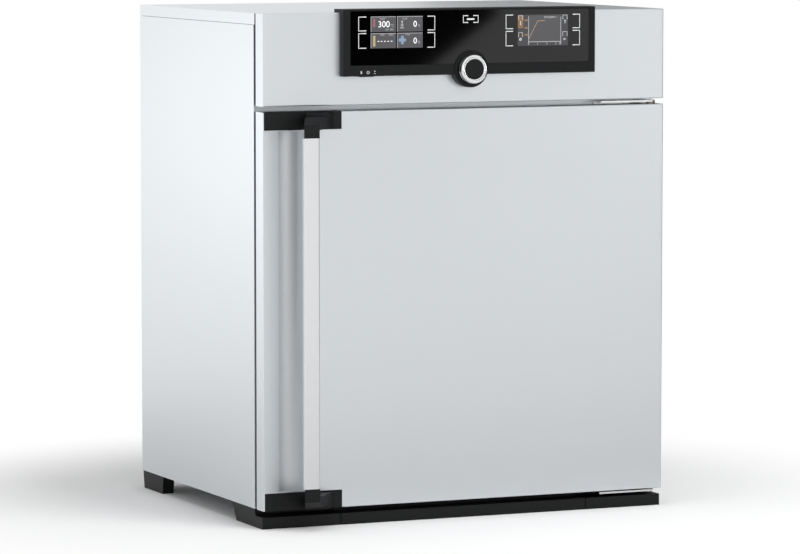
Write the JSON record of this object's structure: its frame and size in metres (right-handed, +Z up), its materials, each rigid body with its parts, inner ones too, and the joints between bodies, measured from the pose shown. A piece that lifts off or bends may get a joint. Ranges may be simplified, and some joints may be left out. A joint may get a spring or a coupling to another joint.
{
  "type": "hot air sterilizer",
  "caption": "Free-standing hot air sterilizer: steel cabinet with a side-hinged door, vertical bar handle, control panel with two displays and a knob, fan-heated chamber with wire shelves.",
  "frame": {"origin": "on the surface it stands on, at the middle of the width and of the whole depth from handle bar to exhaust stub", "axes": "+X to the right seen from the front, +Y from the door to the rear, +Z up"},
  "size_m": [0.745, 0.678, 0.87],
  "materials": {
    "casing_steel": "satin",
    "rear_steel": "satin",
    "chamber_steel": "satin",
    "fastener_steel": "satin",
    "motor_paint": "satin",
    "bar_aluminium": "satin",
    "knob_chrome": "satin",
    "bearing_brass": "satin",
    "black_plastic": "matte",
    "black_glass": "gloss",
    "display_glass": "gloss",
    "circuit_board": "satin",
    "gasket_fibre": "matte",
    "mineral_wool": "matte"
  },
  "bodies": {
    "cabinet": {"left_side_panel": "casing_steel", "right_side_panel": "casing_steel", "top_cover": "casing_steel", "front_frame": "casing_steel", "fascia_panel": "casing_steel", "rear_panel": "rear_steel", "connection_plate": "rear_steel", "base_plate": "rear_steel", "electronics_tray": "rear_steel", "motor_bracket": "rear_steel", "fascia_brackets": "rear_steel", "chamber": "chamber_steel", "air_baffle": "chamber_steel", "rear_screws": "fastener_steel", "baffle_studs": "fastener_steel", "hinge_plate_top": "fastener_steel", "hinge_plate_bottom": "fastener_steel", "latch_strikers": "fastener_steel", "temperature_probes": "fastener_steel", "exhaust_pipe": "fastener_steel", "heater_left": "fastener_steel", "heater_right": "fastener_steel", "heater_top": "fastener_steel", "heater_bottom": "fastener_steel", "fan_motor": "motor_paint", "cockpit_housing": "black_plastic", "front_feet": "black_plastic", "rear_feet": "black_plastic", "plinth": "black_plastic", "flap_drive": "black_plastic", "encoder": "black_plastic", "mains_inlet": "black_plastic", "network_socket": "black_plastic", "cockpit_glass": "black_glass", "display_left": "display_glass", "display_right": "display_glass", "control_board": "circuit_board", "power_board": "circuit_board", "door_gasket": "gasket_fibre", "chamber_insulation": "mineral_wool"},
    "door": {"door_skin": "casing_steel", "door_inner_panel": "chamber_steel", "door_insulation": "mineral_wool", "lock_housing_top": "black_plastic", "lock_housing_bottom": "black_plastic", "door_bushes": "bearing_brass"},
    "handle": {"handle_bar": "bar_aluminium", "handle_arm_top": "black_plastic", "handle_arm_bottom": "black_plastic", "handle_pins": "fastener_steel", "latch_tongues": "fastener_steel"},
    "fan": {"fan_impeller": "chamber_steel", "fan_shaft": "fastener_steel"},
    "flap": {"air_flap": "fastener_steel"},
    "encoder_push": {"encoder_shaft": "fastener_steel"},
    "knob": {"knob_ring": "knob_chrome", "knob_cap": "black_plastic"},
    "key": {"power_key": "black_plastic"},
    "upper_shelf": {"shelf_upper": "chamber_steel"},
    "lower_shelf": {"shelf_lower": "chamber_steel"}
  },
  "joints": [
    {"name": "door_swing", "type": "hinge", "parent": "cabinet", "child": "door", "pos_m": [0.3555, -0.267, 0.3655], "axis": [0, 0, 1], "range_deg": [0, 110]},
    {"name": "handle_turn", "type": "hinge", "parent": "door", "child": "handle", "pos_m": [-0.26, -0.279, 0.3655], "axis": [0, 0, 1], "range_deg": [0, 40]},
    {"name": "fan_spin", "type": "hinge", "parent": "cabinet", "child": "fan", "pos_m": [0, 0.18, 0.3655], "axis": [0, 1, 0], "continuous": true},
    {"name": "flap_turn", "type": "hinge", "parent": "cabinet", "child": "flap", "pos_m": [-0.18, 0.275, 0.5405], "axis": [1, 0, 0], "range_deg": [0, 90]},
    {"name": "knob_press", "type": "slide", "parent": "cabinet", "child": "encoder_push", "axis": [0, 1, 0], "range_m": [0, 0.0015], "stiffness_N_per_m": 1500, "springref_m": -0.001},
    {"name": "knob_turn", "type": "hinge", "parent": "encoder_push", "child": "knob", "pos_m": [0, -0.31, 0.767], "axis": [0, 1, 0], "continuous": true},
    {"name": "power_key_press", "type": "slide", "parent": "cabinet", "child": "key", "axis": [0, 0, 1], "range_m": [0, 0.001], "stiffness_N_per_m": 900, "springref_m": -0.001},
    {"name": "upper_shelf_slide", "type": "slide", "parent": "cabinet", "child": "upper_shelf", "axis": [0, -1, 0], "range_m": [0, 0.018]},
    {"name": "lower_shelf_slide", "type": "slide", "parent": "cabinet", "child": "lower_shelf", "axis": [0, -1, 0], "range_m": [0, 0.018]}
  ]
}
